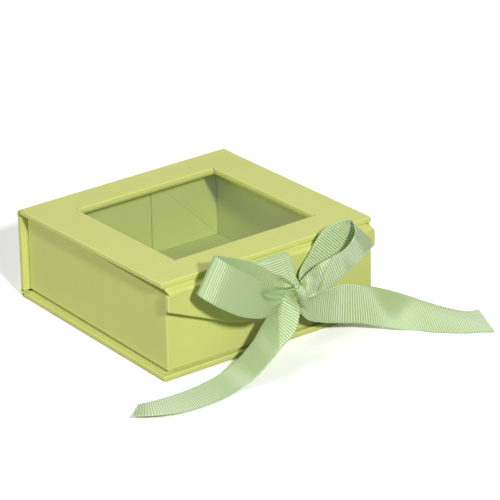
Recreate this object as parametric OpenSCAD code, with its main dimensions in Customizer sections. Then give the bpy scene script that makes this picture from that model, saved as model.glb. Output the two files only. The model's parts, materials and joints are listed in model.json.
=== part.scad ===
// Favor box: a book-style paper-wrapped board box with a windowed lid, a front flap and a ribbon bow.
// The case (base, spine, lid) opens like a book. A fold-flat tray stands on the base.
// X runs along the front, Y from the front to the spine, Z up. The origin is the centre of the base.

/* [Case] */
// Outside length along the front
box_l = 100; // [80:1:150]
// Outside width from the front edge to the spine
box_w = 100; // [80:1:150]
// Outside height at the spine
box_h = 38; // [32:1:60]
// Thickness of the grey board in the case panels
board_t = 1.8; // [1.4:0.1:2.4]
// Thickness of the wrapping paper
paper_t = 0.2; // [0.15:0.05:0.3]
// Width of paper turned in over the board edges
turn_in = 9; // [6:1:14]
// Inset of the lining sheets from the panel edges
liner_inset = 2.5; // [1:0.5:4]
// Radius of the panel corners seen from above
corner_r = 0.8; // [0.4:0.1:2]
// Outside radius of the folded paper at the spine
fold_r = 2; // [1.5:0.1:3]
// Gap between the spine board and its neighbours
spine_gap = 0.6; // [0.3:0.1:1.2]
// Clearance between the lid's rear edge and the paper fold that it turns on
fold_gap = 0.05; // [0.05:0.05:0.2]

/* [Lid] */
// Angle at which the lid stands open at rest
lid_ajar = 1.8; // [0:0.1:4]
// Width of the lid's frame left of its window
frame_left = 17.4; // [15:0.1:22]
// Width of the lid's frame right of its window
frame_right = 15.9; // [15:0.1:22]
// Width of the lid's frame in front of its window
frame_front = 16; // [15:0.1:22]
// Distance from the window to the back of the spine
frame_rear = 16.8; // [16.5:0.1:24]
// Width of paper turned in around the window
window_turn_in = 6; // [4:0.5:8]
// Half diagonal of the snip at each window corner
window_snip = 0.9; // [0.5:0.1:1.5]
// Thickness of the clear window film
film_t = 0.2; // [0.1:0.05:0.3]
// Width of film glued behind the window frame
film_lap = 5; // [3:0.5:8]

/* [Tray] */
// Ledge of the base left of the tray
ledge_left = 2.9; // [1:0.1:5]
// Ledge of the base in front of the tray at its left end
ledge_front = 1.8; // [1:0.1:4]
// Ledge in front of the tray at its right end
ledge_front_right = 0.2; // [0.2:0.1:4]
// Ledge right of the tray at its front end
ledge_right_front = 0.1; // [0.1:0.1:5]
// Ledge right of the tray at its rear end
ledge_right_rear = 4.9; // [1:0.1:6]
// Thickness of the board in the tray walls
wall_t = 1.4; // [1:0.1:2]
// Height of the wall boards above the base
wall_lift = 0.8; // [0.4:0.1:1.5]
// Clearance between the tray walls and the closed lid
lid_clearance = 0.2; // [0.1:0.1:1]
// Thickness of the folding gusset panels
gusset_t = 0.6; // [0.4:0.1:1]
// Clearance of a gusset panel from the wall and floor beside it
gusset_gap = 0.2; // [0.1:0.05:0.5]
// Width of the diagonal crease in a gusset
crease_w = 0.6; // [0.3:0.1:1]
// Depth of the diagonal crease
crease_depth = 0.3; // [0.2:0.05:0.35]
// Thickness of the adhesive tapes behind the gussets
tape_t = 0.15; // [0.1:0.05:0.3]
// Width of an adhesive tape
tape_w = 8; // [4:1:10]
// Length of an adhesive tape
tape_l = 13; // [8:1:15]

/* [Flap] */
// Distance of the flap's ends inside the ends of the case
flap_inset = 0.7; // [0.7:0.1:8]
// Drop of the flap's lowest point below its hinge
flap_drop = 24.9; // [18:0.1:32]
// Drop of the flap's end corners below its hinge
flap_end_drop = 8.8; // [6:0.1:12]
// Radius of the flap's round tongue
flap_nose_r = 58; // [45:1:75]
// Distance of the flap's outer face in front of its hinge
flap_standoff = 3.1; // [2.8:0.1:4]
// Drop of the flap's top edge below its hinge
flap_top_drop = 2.2; // [1.8:0.1:3]
// Width of paper turned in around the flap
flap_turn_in = 5; // [3:0.5:7]
// Thickness of the paper strip that hinges the flap
strip_t = 0.3; // [0.2:0.05:0.4]
// Width of the hinge strip glued under the lid
strip_lap = 8; // [5:1:12]

/* [Magnets] */
// Diameter of the flap magnets and of the discs that they hold to
magnet_d = 10; // [6:1:12]
// Thickness of a flap magnet
magnet_t = 1.2; // [0.8:0.1:1.6]
// Thickness of a steel disc in the front wall
disc_t = 0.8; // [0.5:0.1:1.2]
// Distance between the two magnets
magnet_spacing = 52; // [36:1:60]
// Drop of the magnets' centres below the flap hinge
magnet_drop = 10.6; // [9:0.1:12]
// Clearance round a magnet in its pocket
magnet_gap = 0.1; // [0.05:0.05:0.2]

/* [Ribbon] */
// Width of the grosgrain ribbon
ribbon_w = 16; // [12:0.5:20]
// Thickness of the ribbon
ribbon_t = 0.5; // [0.3:0.1:0.7]
// Sideways place of the knot
knot_x = 8.6; // [0:0.1:15]
// Drop of the knot's centre below the flap hinge
knot_drop = 14.3; // [12:0.1:18]
// Distance of the knot's centre in front of the flap
knot_standoff = 5.9; // [5:0.1:8]
// Height of the knot
knot_h = 9.4; // [8:0.1:12]
// Width of the knot
knot_w = 5; // [4:0.1:7]
// Reach of the bow's loops from the knot
loop_reach = 46; // [36:1:56]
// Reach of the ribbon's tails from the knot
tail_reach = 82; // [60:1:110]

/* [Hidden] */
$fn = 48;

cover_color = [0.80, 0.82, 0.50];
liner_color = [0.72, 0.76, 0.48];
board_color = [0.78, 0.77, 0.72];
film_color = [0.85, 0.90, 0.92, 0.35];
metal_color = [0.62, 0.62, 0.64];
tape_color = [0.92, 0.90, 0.82];
ribbon_color = [0.70, 0.84, 0.66];

// One overrun for every cut
cut = 1;

// Case
half_l = box_l / 2;
half_w = box_w / 2;
panel_t = board_t + 2 * paper_t;
inner_t = panel_t + 2 * paper_t;
panel_rear = half_w - fold_r;
floor_z = panel_t + paper_t;
spine_low = floor_z + spine_gap;
spine_top = box_h - inner_t - spine_gap;

// The lid turns about the paper fold at the top of the spine
hinge_y = half_w - paper_t / 2;
hinge_z = box_h - panel_t;
flap_hinge_y = hinge_y - (hinge_y + half_w) * cos(lid_ajar);
flap_hinge_z = hinge_z + (hinge_y + half_w) * sin(lid_ajar);
lid_rear = panel_rear - panel_t * sin(lid_ajar) - fold_gap;

// Window
window_l = box_l - frame_left - frame_right;
window_w = box_w - frame_front - frame_rear;
window_x = (frame_left - frame_right) / 2;
window_y = (frame_front - frame_rear) / 2;

// Tray: its outside corners, from the front left one round to the rear left one
tray_top = box_h - inner_t - lid_clearance;
tray_corners = [
    [ledge_left - half_l, ledge_front - half_w],
    [half_l - ledge_right_front, ledge_front_right - half_w],
    [half_l - ledge_right_rear, half_w - panel_t - paper_t],
    [ledge_left - half_l, half_w - panel_t - paper_t]
];
wall_all = wall_t + 2 * paper_t;
gusset_size = tray_top - floor_z - paper_t - 2 * gusset_gap;
// Place of a gusset's tape, as a share of the gusset's size
tape_place_share = 0.56;
tape_height_share = 0.08;

// Flap
flap_l = box_l - 2 * flap_inset;
flap_y = flap_hinge_y - flap_standoff;
flap_top = flap_hinge_z - flap_top_drop;
nose_z = flap_hinge_z - flap_drop + flap_nose_r;
end_depth = nose_z - flap_hinge_z + flap_end_drop;
// Slope of the straight shoulders, which run from the end corners to the round tongue
shoulder = atan2(flap_l / 2, end_depth) - acos(flap_nose_r / norm([flap_l / 2, end_depth]));
magnet_z = flap_hinge_z - magnet_drop;
// The hinge strip's bend, in shares of the flap's standoff and of its top edge's drop
strip_shares = [
    [0.12, -0.06], [0.00, -0.18], [-0.12, -0.40], [-0.60, -0.56], [-0.90, -0.74]
];

// Ribbon
knot = [knot_x, flap_y - knot_standoff, flap_hinge_z - knot_drop];
// A loop row: centre from the knot in shares of the loop's reach, the way across the ribbon,
// and its width there in shares of the ribbon's width
loop_left_shares = [
    [[-0.05, 0.02, 0.04], [0.35, 0.00, 0.94], 0.25],
    [[-0.19, 0.04, 0.06], [0.40, 0.00, 0.92], 0.44],
    [[-0.36, 0.05, 0.14], [0.48, 0.00, 0.88], 0.75],
    [[-0.57, 0.06, 0.24], [0.53, 0.00, 0.85], 0.97],
    [[-0.77, 0.05, 0.33], [0.53, 0.00, 0.85], 1.00],
    [[-0.94, 0.02, 0.41], [0.53, 0.00, 0.85], 1.00],
    [[-0.99, -0.05, 0.44], [0.53, 0.00, 0.85], 1.00],
    [[-0.95, -0.12, 0.40], [0.53, 0.02, 0.85], 1.00],
    [[-0.82, -0.16, 0.30], [0.53, 0.05, 0.85], 1.00],
    [[-0.65, -0.18, 0.19], [0.50, 0.08, 0.86], 0.97],
    [[-0.48, -0.17, 0.09], [0.30, 0.10, 0.93], 0.72],
    [[-0.32, -0.11, 0.04], [0.05, 0.05, 0.98], 0.44],
    [[-0.15, -0.05, 0.03], [0.10, 0.00, 0.99], 0.28],
    [[-0.05, -0.02, 0.03], [0.10, 0.00, 0.99], 0.25]
];
loop_right_shares = [
    [[0.02, 0.01, 0.04], [0.75, 0.00, -0.65], 0.25],
    [[0.06, 0.00, 0.12], [0.70, -0.06, -0.71], 0.54],
    [[0.20, -0.02, 0.22], [0.70, -0.11, -0.71], 0.86],
    [[0.33, -0.04, 0.36], [0.70, -0.11, -0.71], 1.00],
    [[0.48, -0.04, 0.42], [0.70, -0.05, -0.71], 1.00],
    [[0.60, -0.04, 0.41], [0.68, 0.09, -0.73], 1.00],
    [[0.62, -0.05, 0.34], [0.64, 0.22, -0.73], 1.00],
    [[0.56, -0.08, 0.29], [0.60, 0.33, -0.73], 1.00],
    [[0.44, -0.10, 0.22], [0.54, 0.41, -0.73], 1.00],
    [[0.28, -0.12, 0.18], [0.50, 0.33, -0.80], 0.97],
    [[0.15, -0.11, 0.14], [0.42, 0.20, -0.88], 0.81],
    [[0.05, -0.08, 0.10], [0.30, 0.00, -0.95], 0.56],
    [[-0.01, -0.05, 0.04], [0.25, 0.00, -0.97], 0.36]
];
// A tail row: the same, with its height in shares of the knot's height above the table
tail_left_shares = [
    [[-0.01, 0.00, 0.98], [-0.75, 0.10, 0.65], 0.28],
    [[-0.07, -0.03, 1.00], [-0.62, 0.35, 0.65], 0.50],
    [[-0.13, -0.07, 0.96], [-0.40, 0.80, 0.20], 0.66],
    [[-0.19, -0.10, 0.76], [-0.12, 0.96, 0.20], 0.92],
    [[-0.26, -0.11, 0.59], [0.10, 0.98, 0.10], 1.00],
    [[-0.31, -0.10, 0.39], [0.18, 0.98, 0.07], 1.00],
    [[-0.39, -0.09, 0.17], [0.22, 0.97, 0.06], 1.00],
    [[-0.48, -0.09, 0.05], [0.22, 0.97, 0.00], 1.00],
    [[-0.60, -0.11, 0.02], [0.25, 0.97, 0.00], 1.00],
    [[-0.75, -0.12, 0.02], [0.32, 0.94, -0.04], 1.00],
    [[-0.88, -0.11, 0.04], [0.40, 0.91, -0.10], 1.00],
    [[-1.00, -0.07, 0.06], [0.66, 0.73, -0.15], 0.90]
];
tail_right_shares = [
    [[0.02, 0.01, 0.87], [0.10, 0.00, 0.99], 0.31],
    [[0.07, 0.01, 0.68], [0.10, 0.00, 0.99], 0.62],
    [[0.14, 0.01, 0.58], [0.12, 0.00, 0.99], 0.91],
    [[0.24, 0.01, 0.53], [0.10, 0.05, 0.99], 1.00],
    [[0.33, -0.01, 0.46], [0.05, 0.15, 0.98], 1.00],
    [[0.43, -0.06, 0.36], [0.05, 0.35, 0.93], 1.00],
    [[0.52, -0.12, 0.27], [0.10, 0.60, 0.78], 1.00],
    [[0.61, -0.20, 0.18], [0.25, 0.80, 0.50], 1.00],
    [[0.71, -0.26, 0.10], [0.35, 0.91, 0.25], 1.00],
    [[0.80, -0.30, 0.05], [0.36, 0.93, 0.08], 1.03],
    [[0.86, -0.32, 0.03], [0.36, 0.93, 0.03], 1.25]
];
// A row of the root: sideways from the knot in shares of the ribbon's width, forward of the
// flap hinge in shares of the knot's distance from it, and height in shares of the knot's drop
root_shares = [
    [[-0.59, -0.07, -0.02], [1.00, 0.00, 0.00], 0.98],
    [[-0.58, -0.22, -0.03], [1.00, 0.00, 0.00], 0.96],
    [[-0.54, -0.40, -0.08], [1.00, 0.00, 0.02], 0.91],
    [[-0.41, -0.58, -0.34], [0.98, -0.05, 0.15], 0.66],
    [[-0.29, -0.74, -0.60], [0.95, -0.10, 0.30], 0.41],
    [[-0.13, -0.86, -0.84], [0.90, -0.10, 0.40], 0.25]
];
// Rows between two given rows, and stations across the ribbon
ribbon_steps = 3;
ribbon_lanes = 4;
// Depth of the crease along a gathered ribbon, in shares of the width that it loses
gather_share = 0.18;
// A ring of the knot: its place sideways, forward and up in shares of the knot's width and
// height, and its half width and half depth in shares of the knot's width
knot_shares = [
    [[0.26, 0.00, -0.50], 0.16, 0.30], [[0.24, -0.08, -0.42], 0.32, 0.52],
    [[0.15, -0.10, -0.22], 0.38, 0.62], [[0.03, -0.10, 0.02], 0.40, 0.64],
    [[-0.09, -0.08, 0.25], 0.38, 0.60], [[-0.20, -0.05, 0.42], 0.30, 0.46],
    [[-0.24, 0.00, 0.50], 0.16, 0.26]
];
knot_sides = 16;

// Geometry helpers

// The corners of a four-sided outline moved inwards by a distance
function edge_normal(c, k) =
    let (d = c[(k + 1) % 4] - c[k % 4]) [-d.y, d.x] / norm(d);
function inset_corner(c, k, by) =
    let (n1 = edge_normal(c, k + 3), n2 = edge_normal(c, k), d1 = by + n1 * c[k], d2 = by + n2 * c[k],
         det = n1.x * n2.y - n1.y * n2.x)
    [(d1 * n2.y - d2 * n1.y) / det, (n1.x * d2 - n2.x * d1) / det];
function inset(c, by) = [for (k = [0:3]) inset_corner(c, k, by)];

// A smooth value between rows k and k + 1 of a list
function blend(rows, k, t) =
    let (last = len(rows) - 1, a = rows[max(k - 1, 0)], b = rows[k], c = rows[min(k + 1, last)],
         d = rows[min(k + 2, last)])
    (2 * b + (c - a) * t + (2 * a - 5 * b + 4 * c - d) * t * t
        + (3 * b - a - 3 * c + d) * t * t * t) / 2;
function fill_rows(rows, steps) =
    [for (k = [0:len(rows) - 2]) for (s = [0:steps - 1]) blend(rows, k, s / steps),
     rows[len(rows) - 1]];
function unit(v) = v / norm(v);
function tangent(list, k) = unit(list[min(k + 1, len(list) - 1)] - list[max(k - 1, 0)]);
// No point of the ribbon's middle layer lies lower than half its thickness above the table
function on_table(p) = [p.x, p.y, max(p.z, ribbon_t / 2)];

// One ring of a ribbon: across its front face and back along its rear face
function ribbon_ring(centre, side, width, way) =
    let (across = unit(side), face = unit(cross(across, way)),
         sag = gather_share * (ribbon_w - width) / 2)
    [for (turn = [1, -1]) for (lane = [0:ribbon_lanes])
        let (v = turn * (2 * lane / ribbon_lanes - 1))
        on_table(centre + across * v * width / 2 + face * sag * (1 - 2 * abs(v)))
            + face * turn * ribbon_t / 2];

// Skin over equal rings, with a ladder of triangles at each end
function ladder(size) =
    [for (j = [0:size / 2 - 2]) each [[j, size - 2 - j, j + 1], [j, size - 1 - j, size - 2 - j]]];
function skin_faces(rings, size) = concat(
    [for (k = [0:rings - 2]) for (j = [0:size - 1])
        let (a = k * size + j, b = k * size + (j + 1) % size)
        each [[a, b, b + size], [a, b + size, a + size]]],
    ladder(size),
    [for (f = ladder(size)) [f[0], f[2], f[1]] + (rings - 1) * size * [1, 1, 1]]
);

// A ribbon through rows of [centre, way across, width in shares of the ribbon's width]
module ribbon(rows) {
    centres = fill_rows([for (r = rows) r[0]], ribbon_steps);
    sides = fill_rows([for (r = rows) r[1]], ribbon_steps);
    widths = fill_rows([for (r = rows) r[2]], ribbon_steps);
    rings = len(centres);
    points = [for (k = [0:rings - 1])
        each ribbon_ring(centres[k], sides[k], widths[k] * ribbon_w, tangent(centres, k))];
    polyhedron(points, skin_faces(rings, 2 * (ribbon_lanes + 1)));
}

// Plan of a case panel: square at the spine, rounded at the front corners
module panel_plan(inset, radius, rear) {
    low = inset - half_w;
    side = half_l - inset;
    translate([-side, low + radius])
        square([2 * side, rear - low - radius]);
    translate([radius - side, low])
        square([2 * (side - radius), 2 * radius]);
    for (x = [radius - side, side - radius])
        translate([x, low + radius])
            circle(radius);
}

module centred_plan(l, w) {
    square([l, w], center = true);
}

// The window's opening, widened all round
module window_plan(by) {
    translate([window_x, window_y])
        centred_plan(window_l + 2 * by, window_w + 2 * by);
}

// Face of a panel that its turned-in paper leaves bare, open at the spine
module bare_plan(rear) {
    translate([turn_in - half_l, turn_in - half_w])
        square([box_l - 2 * turn_in, rear + half_w - turn_in]);
}

// A panel's face under its lining sheet
module lining_plan(front_inset) {
    translate([liner_inset - half_l, front_inset - half_w])
        square([box_l - 2 * liner_inset, panel_rear - fold_r + half_w - front_inset]);
}

module at_height(z, height) {
    translate([0, 0, z])
        linear_extrude(height)
            children();
}

// Lid pieces are drawn outer face down at z = 0, then turned over and tilted about the hinge
module lid_place() {
    translate([0, hinge_y, hinge_z])
        rotate([-lid_ajar, 0, 0])
            translate([0, -hinge_y, box_h - hinge_z])
                mirror([0, 0, 1])
                    children();
}

// Base and spine

module base_board() {
    color(board_color)
        at_height(paper_t, board_t)
            panel_plan(paper_t, corner_r - paper_t, panel_rear);
}

module base_cover_paper() {
    color(cover_color)
        difference() {
            at_height(0, panel_t)
                panel_plan(0, corner_r, panel_rear);
            at_height(paper_t, board_t)
                panel_plan(paper_t, corner_r - paper_t, panel_rear + cut);
            at_height(board_t, paper_t + cut)
                bare_plan(panel_rear + cut);
        }
}

module base_liner_paper() {
    color(liner_color) {
        at_height(panel_t - paper_t, paper_t)
            bare_plan(panel_rear);
        at_height(panel_t, paper_t)
            lining_plan(liner_inset);
    }
}

// A quarter round of paper along X with its centre on the X axis, bulging towards +Y and -Z
module fold_round() {
    rotate([0, 90, 0])
        linear_extrude(box_l, center = true)
            intersection() {
                difference() {
                    circle(fold_r);
                    circle(fold_r - paper_t);
                }
                square(fold_r + cut);
            }
}

module spine_face(low, high) {
    translate([-half_l, half_w - paper_t, low])
        cube([box_l, paper_t, high - low]);
}

module base_fold_paper() {
    color(cover_color) {
        translate([0, panel_rear, fold_r])
            fold_round();
        spine_face(fold_r, spine_low);
    }
}

module lid_hinge_paper() {
    color(cover_color) {
        translate([0, panel_rear, box_h - fold_r])
            mirror([0, 0, 1])
                fold_round();
        spine_face(spine_top, box_h - fold_r);
    }
}

module spine_board() {
    color(board_color)
        translate([paper_t - half_l, half_w - paper_t - board_t, spine_low])
            cube([box_l - 2 * paper_t, board_t, spine_top - spine_low]);
}

module spine_cover_paper() {
    color(cover_color)
        difference() {
            translate([-half_l, half_w - panel_t, spine_low])
                cube([box_l, panel_t, spine_top - spine_low]);
            translate([paper_t - half_l, half_w - paper_t - board_t, spine_low - cut])
                cube([box_l - 2 * paper_t, board_t, box_h]);
            translate([turn_in - half_l, half_w - panel_t - cut, spine_low - cut])
                cube([box_l - 2 * turn_in, paper_t + cut, box_h]);
        }
}

module spine_liner_paper() {
    color(liner_color) {
        translate([turn_in - half_l, half_w - panel_t, spine_low])
            cube([box_l - 2 * turn_in, paper_t, spine_top - spine_low]);
        translate([liner_inset - half_l, half_w - panel_t - paper_t, spine_low])
            cube([box_l - 2 * liner_inset, paper_t, spine_top - spine_low]);
    }
}

// Tray

// Plan of a wall's layer between two depths from its outside face
module wall_plan(wall, from, to) {
    outer = inset(tray_corners, from);
    inner = inset(tray_corners, to);
    polygon([outer[wall], outer[(wall + 1) % 4], inner[(wall + 1) % 4], inner[wall]]);
}

module wall_board(wall) {
    low = floor_z + wall_lift;
    at_height(low, tray_top - paper_t - low)
        wall_plan(wall, paper_t, paper_t + wall_t);
}

// The paper goes up the outside of a wall, over its top and down the inside to the base
module wall_paper(wall) {
    low = floor_z + wall_lift;
    at_height(low, tray_top - low)
        wall_plan(wall, 0, paper_t);
    at_height(tray_top - paper_t, paper_t)
        wall_plan(wall, 0, wall_all);
    at_height(floor_z, tray_top - floor_z)
        wall_plan(wall, paper_t + wall_t, wall_all);
}

// Children are drawn with X along a wall from its left corner seen from outside, Y inwards
module along_wall(wall, depth, from_end = false) {
    corner = inset(tray_corners, depth)[(wall + (from_end ? 1 : 0)) % 4];
    way = tray_corners[(wall + 1) % 4] - tray_corners[wall];
    translate([corner.x, corner.y, 0])
        rotate([0, 0, atan2(way.y, way.x)])
            mirror([from_end ? 1 : 0, 0, 0])
                children();
}

module disc_centres() {
    way = norm(tray_corners[1] - tray_corners[0]);
    turn = atan2(tray_corners[1].y - tray_corners[0].y, tray_corners[1].x - tray_corners[0].x);
    for (x = [-magnet_spacing / 2, magnet_spacing / 2])
        along_wall(0, 0)
            translate([(x - tray_corners[0].x) / cos(turn), paper_t, magnet_z])
                rotate([-90, 0, 0])
                    children();
}

module front_wall_board() {
    color(board_color)
        difference() {
            wall_board(0);
            disc_centres()
                translate([0, 0, -cut])
                    cylinder(wall_t + 2 * cut, d = magnet_d + 2 * magnet_gap);
        }
}

module closure_discs() {
    color(metal_color)
        disc_centres()
            cylinder(disc_t, d = magnet_d);
}

module front_wall_paper() {
    color(cover_color) wall_paper(0);
}

module right_wall_board() {
    color(board_color) wall_board(1);
}

module right_wall_paper() {
    color(cover_color) wall_paper(1);
}

module rear_wall_board() {
    color(board_color) wall_board(2);
}

module rear_wall_paper() {
    color(cover_color) wall_paper(2);
}

module left_wall_board() {
    color(board_color) wall_board(3);
}

module left_wall_paper() {
    color(cover_color) wall_paper(3);
}

module tray_floor_paper() {
    color(liner_color)
        at_height(floor_z, paper_t)
            polygon(inset(tray_corners, wall_all));
}

// A square panel that folds along its diagonal when the tray is laid flat
module gusset(wall, from_end) {
    color(cover_color)
        along_wall(wall, wall_all, from_end)
            translate([gusset_gap, tape_t, floor_z + paper_t + gusset_gap])
                difference() {
                    cube([gusset_size, gusset_t, gusset_size]);
                    translate([0, gusset_t - crease_depth, 0])
                        rotate([0, -45, 0])
                            translate([-cut, 0, -crease_w / 2])
                                cube([gusset_size * sqrt(2) + 2 * cut, crease_depth + cut, crease_w]);
                }
}

module gusset_tapes() {
    color(tape_color)
        for (wall = [0, 2])
            for (from_end = [false, true])
                along_wall(wall, wall_all, from_end)
                    translate([gusset_gap + tape_place_share * gusset_size, 0,
                               floor_z + paper_t + gusset_gap + tape_height_share * gusset_size])
                        cube([tape_l, tape_t, tape_w]);
}

module front_left_gusset() gusset(0, false);
module front_right_gusset() gusset(0, true);
module rear_right_gusset() gusset(2, false);
module rear_left_gusset() gusset(2, true);

// Lid

module lid_board() {
    color(board_color)
        lid_place()
            at_height(paper_t, board_t)
                difference() {
                    panel_plan(paper_t, corner_r - paper_t, lid_rear);
                    window_plan(paper_t);
                }
}

module window_snips() {
    for (x = [-1, 1])
        for (y = [-1, 1])
            translate([window_x + x * window_l / 2, window_y + y * window_w / 2])
                rotate(45)
                    centred_plan(window_snip * sqrt(2), window_snip * sqrt(2));
}

// Where the lid's turned-in paper leaves its board bare
module lid_bare_plan(rear) {
    difference() {
        bare_plan(rear);
        window_plan(window_turn_in);
    }
}

module lid_cover_paper() {
    color(cover_color)
        lid_place()
            difference() {
                at_height(0, panel_t)
                    difference() {
                        panel_plan(0, corner_r, lid_rear);
                        window_plan(0);
                    }
                at_height(paper_t, board_t)
                    difference() {
                        panel_plan(paper_t, corner_r - paper_t, lid_rear + cut);
                        window_plan(paper_t);
                    }
                at_height(board_t, paper_t + cut)
                    lid_bare_plan(lid_rear + cut);
                at_height(paper_t, panel_t)
                    window_snips();
            }
}

module window_film() {
    color(film_color)
        lid_place()
            at_height(panel_t, film_t)
                window_plan(film_lap);
}

module lid_liner_paper() {
    color(liner_color)
        lid_place() {
            at_height(panel_t - paper_t, paper_t)
                lid_bare_plan(lid_rear);
            difference() {
                at_height(panel_t, 2 * paper_t)
                    difference() {
                        lining_plan(strip_lap);
                        window_plan(0);
                    }
                at_height(panel_t - cut, cut + film_t)
                    window_plan(film_lap);
            }
        }
}

// Flap

// Outline of the flap in X and Z, drawn in by a distance: straight ends and shoulders, which
// run on to a round tongue
module flap_plan(by) {
    top = flap_top - by;
    r = flap_nose_r - by;
    base = nose_z - r;
    wide = min(flap_l / 2 - by, (r - (nose_z - top) * cos(shoulder)) / sin(shoulder));
    low = nose_z - (r - wide * sin(shoulder)) / cos(shoulder);
    meet = [r * sin(shoulder), nose_z - r * cos(shoulder)];
    tip = r * (1 - cos(shoulder)) / sin(shoulder);
    ends = low < top - paper_t / 2 ? [[wide, low]] : [];
    difference() {
        polygon(concat(
            [[wide, top]], ends, [[tip, base], [-tip, base]], [for (p = ends) [-p.x, p.y]],
            [[-wide, top]]
        ));
        difference() {
            translate([-meet.x, base - cut])
                square([2 * meet.x, meet.y - base + cut]);
            translate([0, nose_z])
                circle(r);
        }
    }
}

// A layer of the flap between two depths behind its outer face
module flap_layer(from, to, by) {
    translate([0, flap_y + to, 0])
        rotate([90, 0, 0])
            linear_extrude(to - from)
                flap_plan(by);
}

module magnet_centres(depth) {
    for (x = [-magnet_spacing / 2, magnet_spacing / 2])
        translate([x, flap_y + depth, magnet_z])
            rotate([-90, 0, 0])
                children();
}

module flap_board() {
    color(board_color)
        difference() {
            flap_layer(paper_t, paper_t + board_t, paper_t);
            magnet_centres(paper_t - cut)
                cylinder(board_t + 2 * cut, d = magnet_d + 2 * magnet_gap);
        }
}

module flap_magnets() {
    color(metal_color)
        magnet_centres(paper_t + board_t - magnet_t)
            cylinder(magnet_t, d = magnet_d);
}

module flap_cover_paper() {
    color(cover_color)
        difference() {
            flap_layer(0, panel_t, 0);
            flap_layer(paper_t, paper_t + board_t, paper_t);
            flap_layer(panel_t - paper_t, panel_t + cut, flap_turn_in);
        }
}

module flap_liner_paper() {
    color(liner_color) {
        flap_layer(panel_t - paper_t, panel_t, flap_turn_in);
        flap_layer(panel_t, panel_t + paper_t, liner_inset);
    }
}

// Outline of a strip of even thickness along a line of points
function line_normal(p, k) =
    let (d = p[min(k + 1, len(p) - 1)] - p[max(k - 1, 0)]) [-d.y, d.x] / norm(d);
function strip_outline(p, t) = concat(
    [for (k = [0:len(p) - 1]) p[k] + line_normal(p, k) * t / 2],
    [for (k = [len(p) - 1:-1:0]) p[k] - line_normal(p, k) * t / 2]
);

// The strip is glued under the lid and bends down to the flap's top edge
module flap_hinge_paper() {
    bend = [for (s = strip_shares)
        [flap_hinge_y + s.x * flap_standoff, flap_hinge_z + s.y * flap_top_drop]];
    foot_y = flap_y + strip_t / 2;
    foot = [[foot_y, flap_top + strip_t], [foot_y, flap_top]];
    color(cover_color) {
        lid_place()
            at_height(panel_t, paper_t)
                translate([-flap_l / 2, -half_w])
                    square([flap_l, strip_lap]);
        translate([-flap_l / 2, 0, 0])
            rotate([90, 0, 90])
                linear_extrude(flap_l)
                    polygon(strip_outline(concat(bend, foot), strip_t));
    }
}

// Ribbon and bow

module ribbon_root() {
    span = [ribbon_w, flap_hinge_y - knot.y, knot_drop];
    start = [knot.x, flap_hinge_y, flap_hinge_z];
    color(ribbon_color)
        ribbon([for (r = root_shares)
            [[for (k = [0:2]) start[k] + r[0][k] * span[k]], r[1], r[2]]]);
}

module bow_knot() {
    points = [for (r = knot_shares) for (j = [0:knot_sides - 1])
        let (a = 360 * j / knot_sides)
        knot + [(r[0].x + r[1] * cos(a)) * knot_w, (r[0].y + r[2] * sin(a)) * knot_w,
                r[0].z * knot_h]];
    color(ribbon_color)
        polyhedron(points, [for (f = skin_faces(len(knot_shares), knot_sides)) [f[2], f[1], f[0]]]);
}

module loop(rows) {
    color(ribbon_color)
        ribbon([for (r = rows) [knot + r[0] * loop_reach, r[1], r[2]]]);
}

module tail(rows) {
    color(ribbon_color)
        ribbon([for (r = rows)
            [[knot.x + r[0].x * tail_reach, knot.y + r[0].y * tail_reach, r[0].z * knot.z],
             r[1], r[2]]]);
}

module bow_loop_left() loop(loop_left_shares);
module bow_loop_right() loop(loop_right_shares);
module ribbon_tail_left() tail(tail_left_shares);
module ribbon_tail_right() tail(tail_right_shares);

base_board();
base_cover_paper();
base_liner_paper();
base_fold_paper();
spine_board();
spine_cover_paper();
spine_liner_paper();
lid_hinge_paper();
front_wall_board();
front_wall_paper();
right_wall_board();
right_wall_paper();
rear_wall_board();
rear_wall_paper();
left_wall_board();
left_wall_paper();
tray_floor_paper();
front_left_gusset();
front_right_gusset();
rear_right_gusset();
rear_left_gusset();
gusset_tapes();
closure_discs();
lid_board();
lid_cover_paper();
lid_liner_paper();
window_film();
flap_board();
flap_cover_paper();
flap_liner_paper();
flap_magnets();
flap_hinge_paper();
ribbon_root();
bow_knot();
bow_loop_left();
bow_loop_right();
ribbon_tail_left();
ribbon_tail_right();
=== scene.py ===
"""Looks of the favor box: wrapped panels, tray, window film, flap and ribbon bow.
Sizes are in millimetres, as in the CAD source, and become metres when a mesh is made."""
import json
import math
import random

import bmesh
import bpy
import numpy as np
from mathutils import Matrix, Vector
from mathutils.geometry import tessellate_polygon


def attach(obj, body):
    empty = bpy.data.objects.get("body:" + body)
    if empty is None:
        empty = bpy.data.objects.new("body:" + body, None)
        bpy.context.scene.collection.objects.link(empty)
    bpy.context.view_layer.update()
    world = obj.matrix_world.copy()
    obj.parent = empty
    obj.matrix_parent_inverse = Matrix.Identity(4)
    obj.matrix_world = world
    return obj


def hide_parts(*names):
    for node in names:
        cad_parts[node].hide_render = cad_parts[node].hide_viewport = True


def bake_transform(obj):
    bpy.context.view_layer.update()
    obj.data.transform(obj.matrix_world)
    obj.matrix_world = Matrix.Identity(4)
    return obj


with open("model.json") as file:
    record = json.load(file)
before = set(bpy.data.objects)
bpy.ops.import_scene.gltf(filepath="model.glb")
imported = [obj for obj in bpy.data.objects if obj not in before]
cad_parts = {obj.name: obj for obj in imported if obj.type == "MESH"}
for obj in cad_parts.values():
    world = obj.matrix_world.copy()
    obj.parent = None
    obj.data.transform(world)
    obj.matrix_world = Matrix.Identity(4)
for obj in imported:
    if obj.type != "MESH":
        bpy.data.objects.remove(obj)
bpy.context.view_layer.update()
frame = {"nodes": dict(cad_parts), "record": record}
random.seed(7)
MM = 0.001

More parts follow.
